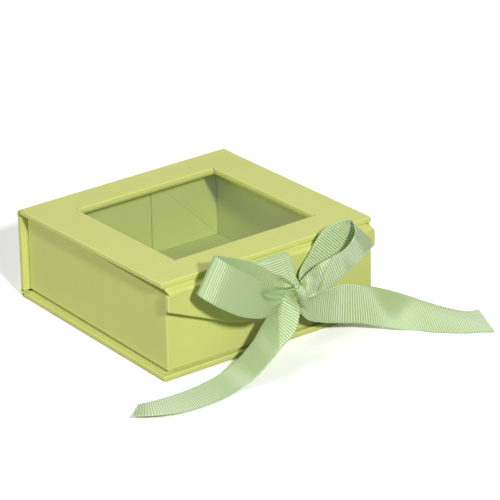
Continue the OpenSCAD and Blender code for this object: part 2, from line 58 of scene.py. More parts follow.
# Sizes, as in the CAD source
BOX = 100.0
HALF = BOX / 2
HEIGHT = 38.0
PAPER = 0.2
BOARD = 1.8
PANEL = BOARD + 2 * PAPER
INNER = PANEL + 2 * PAPER
FOLD = 2.0
REAR = HALF - FOLD
CORNER = 0.8
FLOOR = PANEL + PAPER
SPINE_GAP = 0.6
SPINE_LOW = FLOOR + SPINE_GAP
SPINE_TOP = HEIGHT - INNER - SPINE_GAP
LINING = 2.5
AJAR = math.radians(1.8)
HINGE_PLAY = 0.05
LID_REAR = REAR - PANEL * math.sin(AJAR) - HINGE_PLAY
HINGE = Vector((0, HALF - PAPER / 2, HEIGHT - PANEL))
REACH = HINGE.y + HALF
FLAP_HINGE = Vector((0, HINGE.y - REACH * math.cos(AJAR), HINGE.z + REACH * math.sin(AJAR)))
FRAME_LEFT, FRAME_RIGHT, FRAME_FRONT, FRAME_REAR = 17.4, 15.9, 16.0, 16.8
WINDOW = (FRAME_LEFT - HALF, FRAME_FRONT - HALF, HALF - FRAME_RIGHT, HALF - FRAME_REAR)
LID_CLEARANCE = 0.2
TRAY_TOP = HEIGHT - INNER - LID_CLEARANCE
# The base's ledges round the tray. In front and on the right each has its own width at either end
LEDGE_LEFT = 2.9
LEDGE_FRONT = (1.8, 0.2)
LEDGE_RIGHT = (0.1, 4.9)
LEDGE_REAR = 0.4
TRAY = [
    (LEDGE_LEFT - HALF, LEDGE_FRONT[0] - HALF), (HALF - LEDGE_RIGHT[0], LEDGE_FRONT[1] - HALF),
    (HALF - LEDGE_RIGHT[1], REAR - LEDGE_REAR), (LEDGE_LEFT - HALF, REAR - LEDGE_REAR),
]
WALL = 1.8
FLAP_INSET = 0.7
FLAP_L = BOX - 2 * FLAP_INSET
STANDOFF = 3.1
TOP_DROP = 2.2
FLAP_DROP = 24.9
FLAP_END_DROP = 8.8
STRIP_LAP = 8.0
FLAP_Y = FLAP_HINGE.y - STANDOFF
FLAP_TOP = FLAP_HINGE.z - TOP_DROP
NOSE_R = 58.0
NOSE_Z = FLAP_HINGE.z - FLAP_DROP + NOSE_R
END_DEPTH = NOSE_Z - FLAP_HINGE.z + FLAP_END_DROP
SHOULDER = math.atan2(FLAP_L / 2, END_DEPTH) - math.acos(NOSE_R / math.hypot(FLAP_L / 2, END_DEPTH))
RIBBON_W = 16.0
KNOT_X = 8.6
KNOT_STANDOFF = 5.9
KNOT_DROP = 14.3
KNOT = np.array((KNOT_X, FLAP_Y - KNOT_STANDOFF, FLAP_HINGE.z - KNOT_DROP))

LID_TURN = (Matrix.Translation(HINGE) @ Matrix.Rotation(-AJAR, 4, "X")
            @ Matrix.Translation(-HINGE))


# Materials
# A colour mix node's two colours going in, and the one coming out
MIX_A, MIX_B, MIX_COLOUR = 6, 7, 2


def srgb(r, g, b):
    """A colour as a screen writes it, from 0 to 255, in the linear values that a shader takes."""
    def lin(c):
        c /= 255
        return c / 12.92 if c <= 0.04045 else ((c + 0.055) / 1.055) ** 2.4
    return (lin(r), lin(g), lin(b), 1.0)


def new_material(name):
    m = bpy.data.materials.new(name)
    m.use_nodes = True
    tree = m.node_tree
    return m, tree, tree.nodes["Principled BSDF"]


def link(tree, a, out, b, into):
    tree.links.new(a.outputs[out], b.inputs[into])


def noise_node(tree, scale, detail=3.0, rough=0.5):
    where = tree.nodes.new("ShaderNodeTexCoord")
    n = tree.nodes.new("ShaderNodeTexNoise")
    n.inputs["Scale"].default_value = scale
    n.inputs["Detail"].default_value = detail
    n.inputs["Roughness"].default_value = rough
    link(tree, where, "Object", n, "Vector")
    return n


def ramp_node(tree, low, high, a, b):
    r = tree.nodes.new("ShaderNodeValToRGB")
    r.color_ramp.elements[0].position = low
    r.color_ramp.elements[0].color = a
    r.color_ramp.elements[1].position = high
    r.color_ramp.elements[1].color = b
    return r


def bump_node(tree, source, out, strength, distance, bsdf, before=None):
    b = tree.nodes.new("ShaderNodeBump")
    b.inputs["Strength"].default_value = strength
    b.inputs["Distance"].default_value = distance
    link(tree, source, out, b, "Height")
    if before is not None:
        link(tree, before, "Normal", b, "Normal")
    link(tree, b, "Normal", bsdf, "Normal")
    return b


def paper(name, base, dark, edge, rough=0.55, grain=0.25, specular=0.25):
    """Laminated wrapping paper: mottled colour, fine grain, and a painted highlight along rounded edges,
    broken up by fibre noise.
    """
    m, tree, bsdf = new_material(name)
    blotch = noise_node(tree, 45, 4)
    colour = ramp_node(tree, 0.35, 0.7, dark, base)
    link(tree, blotch, "Fac", colour, "Fac")
    painted_edge_highlight = tree.nodes.new("ShaderNodeAttribute")
    painted_edge_highlight.attribute_name = "painted_edge_highlight"
    fibre = noise_node(tree, 1500, 2)
    edge_highlight_mask = tree.nodes.new("ShaderNodeMath")
    edge_highlight_mask.operation = "MULTIPLY"
    link(tree, painted_edge_highlight, "Fac", edge_highlight_mask, 0)
    link(tree, fibre, "Fac", edge_highlight_mask, 1)
    # Painted highlight: the edge colour is mixed in along rounded edges, broken up by fibre noise.
    mix = tree.nodes.new("ShaderNodeMix")
    mix.data_type = "RGBA"
    link(tree, edge_highlight_mask, "Value", mix, "Factor")
    tree.links.new(colour.outputs["Color"], mix.inputs[MIX_A])
    mix.inputs[MIX_B].default_value = edge
    tree.links.new(mix.outputs[MIX_COLOUR], bsdf.inputs["Base Color"])
    bsdf.inputs["Roughness"].default_value = rough
    bsdf.inputs["Specular IOR Level"].default_value = specular
    grain_noise = noise_node(tree, 900, 3, 0.6)
    first = bump_node(tree, grain_noise, "Fac", grain, 0.00008, bsdf)
    wave = noise_node(tree, 60, 2)
    bump_node(tree, wave, "Fac", 0.12, 0.0006, bsdf, first)
    return m


def plain(name, colour, rough, metal=0.0, scale=300, contrast=0.1, bump=0.2):
    """A surface with a little mottling and grain."""
    m, tree, bsdf = new_material(name)
    spots = noise_node(tree, scale, 4)
    dark = tuple(c * (1 - contrast) for c in colour[:3]) + (1.0,)
    colours = ramp_node(tree, 0.35, 0.65, dark, colour)
    link(tree, spots, "Fac", colours, "Fac")
    link(tree, colours, "Color", bsdf, "Base Color")
    bsdf.inputs["Roughness"].default_value = rough
    bsdf.inputs["Metallic"].default_value = metal
    bump_node(tree, spots, "Fac", bump, 0.0001, bsdf)
    return m


def film_material():
    """Clear film: what lies behind shows through, under a glossy reflection and a little haze."""
    m, tree, bsdf = new_material("clear_film")
    bsdf.inputs["Base Color"].default_value = (0.75, 0.8, 0.62, 1)
    bsdf.inputs["Roughness"].default_value = 0.3
    clear = tree.nodes.new("ShaderNodeBsdfTransparent")
    clear.inputs["Color"].default_value = (0.94, 0.96, 0.92, 1)
    gloss = tree.nodes.new("ShaderNodeBsdfGlossy")
    gloss.inputs["Roughness"].default_value = 0.06
    shine = tree.nodes.new("ShaderNodeMixShader")
    shine.inputs[0].default_value = 0.03
    link(tree, clear, "BSDF", shine, 1)
    link(tree, gloss, "BSDF", shine, 2)
    haze = tree.nodes.new("ShaderNodeMixShader")
    haze.inputs[0].default_value = 0.03
    link(tree, shine, "Shader", haze, 1)
    link(tree, bsdf, "BSDF", haze, 2)
    out = tree.nodes["Material Output"]
    link(tree, haze, "Shader", out, "Surface")
    return m


def ribbon_material(name, light, dark):
    """Satin grosgrain: real ribs, painted shade in their valleys and painted highlight on their crests,
    and a highlight that runs across the threads.
    """
    m, tree, bsdf = new_material(name)
    rib = tree.nodes.new("ShaderNodeAttribute")
    rib.attribute_name = "rib"
    # From the dark valley colour to the light crest colour: painted shade and painted highlight along each
    # rib.
    colour = ramp_node(tree, 0.2, 0.8, dark, light)
    link(tree, rib, "Fac", colour, "Fac")
    link(tree, colour, "Color", bsdf, "Base Color")
    bsdf.inputs["Roughness"].default_value = 0.5
    bsdf.inputs["IOR"].default_value = 1.8
    bsdf.inputs["Specular IOR Level"].default_value = 1.0
    bsdf.inputs["Anisotropic"].default_value = 1.0
    bsdf.inputs["Sheen Weight"].default_value = 0.1
    bsdf.inputs["Sheen Roughness"].default_value = 0.4
    across = tree.nodes.new("ShaderNodeAttribute")
    across.attribute_name = "across"
    to_world = tree.nodes.new("ShaderNodeVectorTransform")
    to_world.vector_type = "VECTOR"
    to_world.convert_from = "OBJECT"
    to_world.convert_to = "WORLD"
    link(tree, across, "Vector", to_world, "Vector")
    link(tree, to_world, "Vector", bsdf, "Tangent")
    thread = noise_node(tree, 2600, 2)
    bump_node(tree, thread, "Fac", 0.15, 0.00004, bsdf)
    return m


# Each paper's third colour is a painted highlight along its rounded edges.
LID_PAPER = paper("cover_paper", srgb(213, 219, 128), srgb(209, 215, 124), srgb(226, 231, 142))
IN_PAPER = paper("lining_paper", srgb(204, 212, 132), srgb(200, 208, 128), srgb(216, 222, 152), rough=0.6)
GREY = plain("grey_board", srgb(188, 184, 172), 0.9)
STEEL = plain("steel", srgb(190, 190, 195), 0.35, 1.0)
TAPE = plain("tape_backing", srgb(232, 228, 212), 0.5)
FILM = film_material()
# The ribbon's light colour is a painted highlight on the rib crests, its dark colour painted shade in the
# valleys.
RIBBON = ribbon_material("grosgrain", srgb(196, 213, 154), srgb(98, 150, 62))


# Mesh helpers
def make(name, verts, faces, body, material, painted_edge_highlight=None, turn=None, weighted=True):
    """A mesh piece from points in millimetres, smooth shaded, that rides on a body."""
    mesh = bpy.data.meshes.new(name)
    points = [Vector(v) * MM for v in verts]
    if turn is not None:
        points = [(turn @ (p / MM)) * MM for p in points]
    mesh.from_pydata(points, [], faces)
    mesh.validate()
    mesh.shade_smooth()
    # The weight of the painted edge highlight at each point, 0 where none is given.
    attribute = mesh.attributes.new("painted_edge_highlight", "FLOAT", "POINT")
    if painted_edge_highlight is not None:
        attribute.data.foreach_set("value", np.array(painted_edge_highlight, np.float32))
    mesh.materials.append(material)
    o = bpy.data.objects.new(name, mesh)
    bpy.context.collection.objects.link(o)
    if weighted:
        w = o.modifiers.new("weighted", "WEIGHTED_NORMAL")
        w.keep_sharp = True
    if body:
        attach(o, body)
    return o


# The longest stretch of a panel's side between two points, and the width of the band they stray in
SIDE_STEP = 4.0
STRAY = 0.05


def rounded(corners, radius, arc=5):
    """A counter-clockwise ring through corners, each rounded, with points along its sides."""
    ring = []
    n = len(corners)
    radii = radius if isinstance(radius, (list, tuple)) else [radius] * n
    for k in range(n):
        p, c, q = (np.array(corners[i % n], float) for i in (k - 1, k, k + 1))
        a = (p - c) / np.linalg.norm(p - c)
        b = (q - c) / np.linalg.norm(q - c)
        half = math.acos(max(-1, min(1, float(a @ b)))) / 2
        reach = radii[k] / math.tan(half)
        centre = c + (a + b) / np.linalg.norm(a + b) * radii[k] / math.sin(half)
        start, end = c + a * reach, c + b * reach
        t0 = math.atan2(*(start - centre)[::-1])
        t1 = math.atan2(*(end - centre)[::-1])
        turn = (t1 - t0 + math.pi) % (2 * math.pi) - math.pi
        for i in range(arc + 1):
            t = t0 + turn * i / arc
            ring.append(centre + radii[k] * np.array((math.cos(t), math.sin(t))))
    out = []
    for k, p in enumerate(ring):
        q = ring[(k + 1) % len(ring)]
        out.append(p)
        parts = int(np.linalg.norm(q - p) // SIDE_STEP)
        for i in range(1, parts + 1):
            out.append(p + (q - p) * i / (parts + 1))
    return np.array(out)


def inset_ring(ring, by):
    """A ring moved to its left by a distance: inwards when counter-clockwise."""
    a = ring - np.roll(ring, 1, 0)
    b = np.roll(ring, -1, 0) - ring
    na = np.stack([-a[:, 1], a[:, 0]], 1) / np.linalg.norm(a, axis=1)[:, None]
    nb = np.stack([-b[:, 1], b[:, 0]], 1) / np.linalg.norm(b, axis=1)[:, None]
    m = na + nb
    m /= np.linalg.norm(m, axis=1)[:, None]
    cos = np.clip((m * na).sum(1), 0.35, 1)
    by = np.broadcast_to(by, len(ring))
    return ring + m * (by / cos)[:, None]


def slab(name, outer, holes, low, high, body, material, edge, place=None, turn=None):
    """A flat panel whose edges have a radius. place turns (u, v, w) into the frame's x, y, z."""
    place = place or (lambda u, v, w: (u, v, w))
    steps = 3
    profile = []
    # Each profile point: its inset, its height, and the weight of the painted edge highlight, largest
    # midway round a rounded edge.
    for k in range(steps + 1):
        t = math.pi / 2 * k / steps
        profile.append((edge * (1 - math.sin(t)), low + edge * (1 - math.cos(t)), math.sin(2 * t)))
    for k in range(steps + 1):
        t = math.pi / 2 * k / steps
        profile.append((edge * (1 - math.cos(t)), high - edge + edge * math.sin(t), math.sin(2 * t)))
    verts, faces, painted_edge_highlight, top, bottom = [], [], [], [], []
    for ring in [outer] + list(holes):
        n = len(ring)
        drift = [STRAY * (random.random() - 0.5) for _ in range(n)]
        base = len(verts)
        for inset, w, highlight_weight in profile:
            moved = inset_ring(ring, np.maximum(0, inset + np.array(drift) * (1 if highlight_weight else 0.3)))
            verts += [place(float(p[0]), float(p[1]), w) for p in moved]
            painted_edge_highlight += [highlight_weight] * n
        for k in range(len(profile) - 1):
            for j in range(n):
                a, b = base + k * n + j, base + k * n + (j + 1) % n
                faces.append((a, b, b + n, a + n))
        bottom.append(list(range(base, base + n)))
        top.append(list(range(base + (len(profile) - 1) * n, base + len(profile) * n)))
    for loops in (top, bottom):
        flat = [i for loop in loops for i in loop]
        rings = []
        for loop in loops:
            rings.append([Vector(verts[i]) for i in loop])
        for t in tessellate_polygon(rings):
            faces.append(tuple(flat[i] for i in t))
    o = make(name, verts, faces, body, material, painted_edge_highlight, turn)
    fix_normals(o)
    return o


def fix_normals(o):
    """Turns every face outwards."""
    bm = bmesh.new()
    bm.from_mesh(o.data)
    bmesh.ops.recalc_face_normals(bm, faces=bm.faces)
    bm.to_mesh(o.data)
    bm.free()


def box_ring(x0, y0, x1, y1, radius):
    return rounded([(x0, y0), (x1, y0), (x1, y1), (x0, y1)], radius)


# Case panels
def panel(name, body, low, high, rear, turn=None, hole=None):
    """A wrapped board as wide as the box, with rounded front corners and square rear ones."""
    outer = box_ring(-HALF, -HALF, HALF, rear, (CORNER, CORNER, 0.05, 0.05))
    holes = [hole[::-1]] if hole is not None else []
    return slab(name, outer, holes, low, high, body, LID_PAPER, edge=0.5, turn=turn)


# How much of each side of the window a snip takes at a corner, and how far its tip reaches outwards
SNIP = 0.6
SNIP_TIP = 0.8 * SNIP


def snipped_ring():
    """The window's outline with a small pointed snip at each corner, where the turned-in paper parts."""
    x0, y0, x1, y1 = WINDOW
    corners = [
        (x0, y0 + SNIP), (x0 - SNIP_TIP, y0 - SNIP_TIP), (x0 + SNIP, y0),
        (x1 - SNIP, y0), (x1 + SNIP_TIP, y0 - SNIP_TIP), (x1, y0 + SNIP),
        (x1, y1 - SNIP), (x1 + SNIP_TIP, y1 + SNIP_TIP), (x1 - SNIP, y1),
        (x0 + SNIP, y1), (x0 - SNIP_TIP, y1 + SNIP_TIP), (x0, y1 - SNIP),
    ]
    return rounded(corners, radius=0.03, arc=2)


# How far the paper reaches past a board's bare end, so that no grey shows when the lid is open
COVERED = 0.15
base_wrap = panel("base_wrap", "case", 0, PANEL, REAR)
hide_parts("base_cover_paper")
lid_wrap = panel("lid_wrap", "lid", HEIGHT - PANEL, HEIGHT, LID_REAR + COVERED, LID_TURN,
                 snipped_ring())
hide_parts("lid_cover_paper")

base_sheet = box_ring(LINING - HALF, LINING - HALF, HALF - LINING, REAR - FOLD, radius=0.4)
base_lining = slab("base_lining", base_sheet, [], PANEL, FLOOR, "case", IN_PAPER,
                   edge=0.08)
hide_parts("base_liner_paper")
lid_sheet = box_ring(LINING - HALF, STRIP_LAP - HALF, HALF - LINING, REAR - FOLD, radius=0.4)
lid_sheet_window = box_ring(*WINDOW, radius=0.35)[::-1]
lid_lining = slab("lid_lining", lid_sheet, [lid_sheet_window], HEIGHT - INNER, HEIGHT - PANEL, "lid",
                  IN_PAPER, edge=0.1, turn=LID_TURN)
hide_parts("lid_liner_paper")

spine_plan = box_ring(-HALF, HALF - PANEL, HALF, HALF, radius=0.45)
spine_wrap = slab("spine_wrap", spine_plan, [], SPINE_LOW, SPINE_TOP + COVERED, "case", LID_PAPER,
                  edge=0.05)
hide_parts("spine_cover_paper")

# Tray
def quad_inset(by):
    """The tray's outline, moved inwards."""
    return [tuple(p) for p in inset_ring(np.array(TRAY, float), by)]


# The wrap starts above the floor, over a skirt that is narrower than the wall
WRAP_LOW = 0.8
SKIRT_THICK, SKIRT_HIGH = 0.6, 1.0
tray_outer = rounded(TRAY, radius=0.7)
tray_inner = rounded(quad_inset(WALL), radius=0.15)
tray_wrap = slab("tray_wrap", tray_outer, [tray_inner[::-1]], FLOOR + WRAP_LOW, TRAY_TOP, "case",
                 LID_PAPER, edge=0.4)
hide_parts("front_wall_paper", "right_wall_paper", "rear_wall_paper", "left_wall_paper")
skirt_outer = rounded(quad_inset(WALL - SKIRT_THICK), radius=0.2)
slab("tray_skirt", skirt_outer, [tray_inner[::-1]], FLOOR, FLOOR + SKIRT_HIGH, "case", IN_PAPER,
     edge=0.05)


# Flap
def flap_ring(by=0.0):
    """The flap's outline: square shoulders over a wide arc, moved inwards."""
    r = NOSE_R - by
    top = FLAP_TOP - by
    wide = min(FLAP_L / 2 - by, (r - (NOSE_Z - top) * math.cos(SHOULDER)) / math.sin(SHOULDER))
    low = NOSE_Z - (r - wide * math.sin(SHOULDER)) / math.cos(SHOULDER)
    turns = [SHOULDER * k / 10 for k in range(-10, 11)]
    arc = [(r * math.sin(t), NOSE_Z - r * math.cos(t)) for t in turns]
    ends = [(-wide, low)] if low < top - 0.1 else []
    corners = [(wide, top), (-wide, top)] + ends + arc + [(-x, z) for x, z in ends]
    radii = [0.6, 0.6] + [0.5] * len(ends) + [0.02] * len(arc) + [0.5] * len(ends)
    return rounded(corners, radii, arc=2)


def on_flap(depth):
    """Local (u, v, w) to the frame: w runs from a depth behind the flap's outer face outwards."""
    return lambda u, v, w: (u, FLAP_Y + depth - w, v)


flap_wrap = slab("flap_wrap", flap_ring(), [], 0, PANEL, "flap", LID_PAPER, edge=0.45,
                 place=on_flap(PANEL))
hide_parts("flap_cover_paper")
flap_lining = slab("flap_lining", flap_ring(LINING), [], 0, PAPER, "flap", IN_PAPER,
                   edge=0.08, place=on_flap(PANEL + PAPER))
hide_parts("flap_liner_paper")


# Paper hinges
def strip(name, line, thick, x0, x1, material, step=2.0, crumple=0.0):
    """A strip of paper along X whose section follows a line of (y, z) points."""
    line = np.array(line, float)
    d = np.gradient(line, axis=0)
    d /= np.linalg.norm(d, axis=1)[:, None]
    normal = np.stack([-d[:, 1], d[:, 0]], 1)
    columns = int((x1 - x0) / step) + 1
    rows = len(line)
    verts, faces = [], []
    for side in (1, -1):
        for i in range(columns):
            x = x0 + (x1 - x0) * i / (columns - 1)
            for k in range(rows):
                lift = crumple * math.sin(0.9 * x + 2.1 * k) * math.sin(0.37 * x)
                y, z = line[k] + normal[k] * (side * thick / 2 + lift)
                verts.append((x, float(y), float(z)))
    n = columns * rows
    for i in range(columns - 1):
        for k in range(rows - 1):
            a = i * rows + k
            faces.append((a, a + 1, a + rows + 1, a + rows))
            faces.append((n + a, n + a + rows, n + a + rows + 1, n + a + 1))
    edge = ([i * rows for i in range(columns)] + [(columns - 1) * rows + k for k in range(1, rows)]
            + [i * rows + rows - 1 for i in range(columns - 2, -1, -1)] + list(range(rows - 2, 0, -1)))
    for a, b in zip(edge, edge[1:] + edge[:1]):
        faces.append((a, b, n + b, n + a))
    o = make(name, verts, faces, None, material)
    fix_normals(o)
    return o


def smooth_line(points, parts):
    """A smooth line through points."""
    p = np.array(points, float)
    out = []
    for k in range(len(p) - 1):
        a, b, c, d = p[max(k - 1, 0)], p[k], p[k + 1], p[min(k + 2, len(p) - 1)]
        for t in np.arange(parts) / parts:
            out.append((2 * b + (c - a) * t + (2 * a - 5 * b + 4 * c - d) * t * t
                        + (3 * b - a - 3 * c + d) * t ** 3) / 2)
    out.append(p[-1])
    return np.array(out)


# The thickness of the fold, which shows at its two ends, where the paper is turned in
TURNED_IN = 0.9
bend_radius = FOLD - TURNED_IN / 2
hinge_line = [(HALF - TURNED_IN / 2, z) for z in np.linspace(SPINE_TOP, HEIGHT - FOLD, 3)]
hinge_line += [(REAR + bend_radius * math.cos(t), HEIGHT - FOLD + bend_radius * math.sin(t))
               for t in np.linspace(0, math.pi / 2, 9)[1:]]
lid_hinge = strip("lid_hinge_fold", hinge_line, TURNED_IN, -HALF, HALF, LID_PAPER)
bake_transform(lid_hinge)
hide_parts("lid_hinge_paper")

# From the lid's edge to the flap's top, in shares of the flap's stand-off and of its drop
bend = [(0.12, -0.06), (0.0, -0.18), (-0.12, -0.40), (-0.60, -0.56), (-0.90, -0.74)]
flap_line = [(FLAP_HINGE.y + y * STANDOFF, FLAP_HINGE.z + z * TOP_DROP) for y, z in bend]
flap_line += [(FLAP_Y + 0.2, FLAP_TOP + 0.2), (FLAP_Y + 0.15, FLAP_TOP - 0.6)]
flap_line = smooth_line(flap_line, parts=3)
STRIP = 0.3
STRIP_INSET = 0.6
flap_hinge = strip("flap_hinge_fold", flap_line, STRIP, STRIP_INSET - FLAP_L / 2, FLAP_L / 2 - STRIP_INSET,
                   LID_PAPER, crumple=0.04)
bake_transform(flap_hinge)
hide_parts("flap_hinge_paper")
lap_sheet = box_ring(-FLAP_L / 2, STRIP - HALF, FLAP_L / 2, STRIP_LAP - HALF, radius=0.3)
slab("flap_hinge_lap", lap_sheet, [], HEIGHT - PANEL - PAPER, HEIGHT - PANEL, "lid", LID_PAPER,
     edge=0.08, turn=LID_TURN)

# Ribbon
LOOP = 46.0
TAIL = 82.0
# A row: centre from the knot in shares of the reach, the way across, width in shares of the ribbon
LOOP_L = [
    ((-0.05, 0.02, 0.04), (0.35, 0.00, 0.94), 0.25), ((-0.19, 0.04, 0.06), (0.40, 0.00, 0.92), 0.44),
    ((-0.36, 0.05, 0.14), (0.48, 0.00, 0.88), 0.75), ((-0.57, 0.06, 0.24), (0.53, 0.00, 0.85), 0.97),
    ((-0.77, 0.05, 0.33), (0.53, 0.00, 0.85), 1.00), ((-0.94, 0.02, 0.41), (0.53, 0.00, 0.85), 1.00),
    ((-0.99, -0.05, 0.44), (0.53, 0.00, 0.85), 1.00), ((-0.95, -0.12, 0.40), (0.53, 0.02, 0.85), 1.00),
    ((-0.82, -0.16, 0.30), (0.53, 0.05, 0.85), 1.00), ((-0.65, -0.18, 0.19), (0.50, 0.08, 0.86), 0.97),
    ((-0.48, -0.17, 0.09), (0.30, 0.10, 0.93), 0.72), ((-0.32, -0.11, 0.04), (0.05, 0.05, 0.98), 0.44),
    ((-0.15, -0.05, 0.03), (0.10, 0.00, 0.99), 0.28), ((-0.05, -0.02, 0.03), (0.10, 0.00, 0.99), 0.25),
]
LOOP_R = [
    ((0.04, 0.04, 0.02), (0.75, 0.00, -0.65), 0.25), ((0.11, 0.07, 0.08), (0.70, -0.06, -0.71), 0.54),
    ((0.27, 0.08, 0.16), (0.70, -0.11, -0.71), 0.86), ((0.41, 0.07, 0.30), (0.70, -0.11, -0.71), 1.00),
    ((0.55, 0.06, 0.36), (0.70, -0.05, -0.71), 1.00), ((0.65, 0.03, 0.37), (0.68, 0.09, -0.73), 1.00),
    ((0.64, -0.02, 0.32), (0.64, 0.18, -0.73), 0.99), ((0.56, -0.08, 0.29), (0.52, 0.22, -0.67), 0.88),
    ((0.44, -0.10, 0.22), (0.33, 0.12, -0.57), 0.70), ((0.28, -0.12, 0.18), (0.32, 0.08, -0.66), 0.74),
    ((0.16, -0.11, 0.13), (0.29, 0.05, -0.74), 0.80), ((0.09, -0.04, 0.05), (0.30, 0.00, -0.95), 0.72),
    ((0.00, -0.01, 0.01), (0.25, 0.00, -0.97), 0.50),
]
TAIL_L = [
    ((-0.03, 0.01, 0.99), (-0.75, 0.10, 0.65), 0.22), ((-0.09, -0.03, 1.02), (-0.62, 0.35, 0.65), 0.46),
    ((-0.13, -0.07, 0.98), (-0.40, 0.80, 0.20), 0.66), ((-0.19, -0.10, 0.76), (-0.12, 0.96, 0.20), 0.92),
    ((-0.26, -0.11, 0.59), (0.10, 0.98, 0.10), 1.00), ((-0.31, -0.10, 0.39), (0.18, 0.98, 0.07), 1.00),
    ((-0.39, -0.09, 0.17), (0.22, 0.97, 0.06), 1.00), ((-0.48, -0.09, 0.05), (0.22, 0.97, 0.00), 1.00),
    ((-0.60, -0.11, 0.02), (0.25, 0.97, 0.00), 1.00), ((-0.75, -0.12, 0.02), (0.32, 0.94, -0.04), 1.00),
    ((-0.88, -0.11, 0.04), (0.40, 0.91, -0.10), 1.00), ((-1.00, -0.07, 0.06), (0.66, 0.73, -0.15), 0.90),
]
TAIL_R = [
    ((0.00, 0.01, 0.76), (0.10, 0.00, 0.99), 0.44), ((0.05, 0.01, 0.64), (0.10, 0.00, 0.99), 0.60),
    ((0.12, 0.01, 0.59), (0.12, 0.00, 0.99), 0.79), ((0.23, 0.00, 0.55), (0.10, 0.05, 0.99), 1.00),
    ((0.316, -0.03, 0.50), (0.05, 0.15, 0.98), 1.00), ((0.426, -0.065, 0.37), (0.05, 0.35, 0.93), 1.00),
    ((0.53, -0.106, 0.243), (0.10, 0.60, 0.78), 1.00), ((0.623, -0.18, 0.15), (0.25, 0.80, 0.50), 1.00),
    ((0.716, -0.25, 0.085), (0.35, 0.91, 0.25), 1.00), ((0.80, -0.30, 0.05), (0.36, 0.93, 0.08), 1.03),
    ((0.86, -0.32, 0.03), (0.36, 0.93, 0.03), 1.25),
]
ROOT = [
    ((-0.59, -0.07, -0.02), (1.00, 0.00, 0.00), 0.98), ((-0.58, -0.22, -0.03), (1.00, 0.00, 0.00), 0.96),
    ((-0.54, -0.40, -0.08), (1.00, 0.00, 0.02), 0.91), ((-0.41, -0.58, -0.34), (0.98, -0.05, 0.15), 0.66),
    ((-0.29, -0.74, -0.60), (0.95, -0.10, 0.30), 0.41), ((-0.13, -0.86, -0.84), (0.90, -0.10, 0.40), 0.25),
]
# A rib's length along the ribbon, its height, and the share of that height where pressed ribs level out
RIB = 1.0
RIB_HIGH = 0.18
RIB_MEAN = 0.6
# Half the thickness of the web between ribs
THIN = 0.07
# The tone of ribs that are pressed flat, between the painted valley shade at 0 and the painted crest
# highlight at 1
PRESSED = 0.52
# How far a pleat rises at most
PLEAT_MOST = 0.45
# Points that a stretch between two rows is worked out with, and points along one rib
ROW_PARTS = 60
RIB_POINTS = 8


def ease(low, high, x):
    """0 to 1 between two values, level at both."""
    t = np.clip((x - low) / (high - low), 0, 1)
    return t * t * (3 - 2 * t)


def ridge(v, peak, soft=9.0):
    """A ridge along the ribbon: 1 at its peak, 0 at both edges, rounded at the top."""
    a, b = (1 - v) / (1 - peak), (1 + v) / (1 + peak)
    return -np.log(np.exp(-soft * a) + np.exp(-soft * b)) / soft


def thread_marks(o, painted_rib_shade, sideways):
    """Marks each point with the tone for its painted rib shade and highlight, and the way across the
    ribbon, for the material.
    """
    attribute = o.data.attributes.new("rib", "FLOAT", "POINT")
    attribute.data.foreach_set("value", np.array(painted_rib_shade, np.float32))
    attribute = o.data.attributes.new("across", "FLOAT_VECTOR", "POINT")
    attribute.data.foreach_set("vector", np.array(sideways, np.float32).reshape(-1))


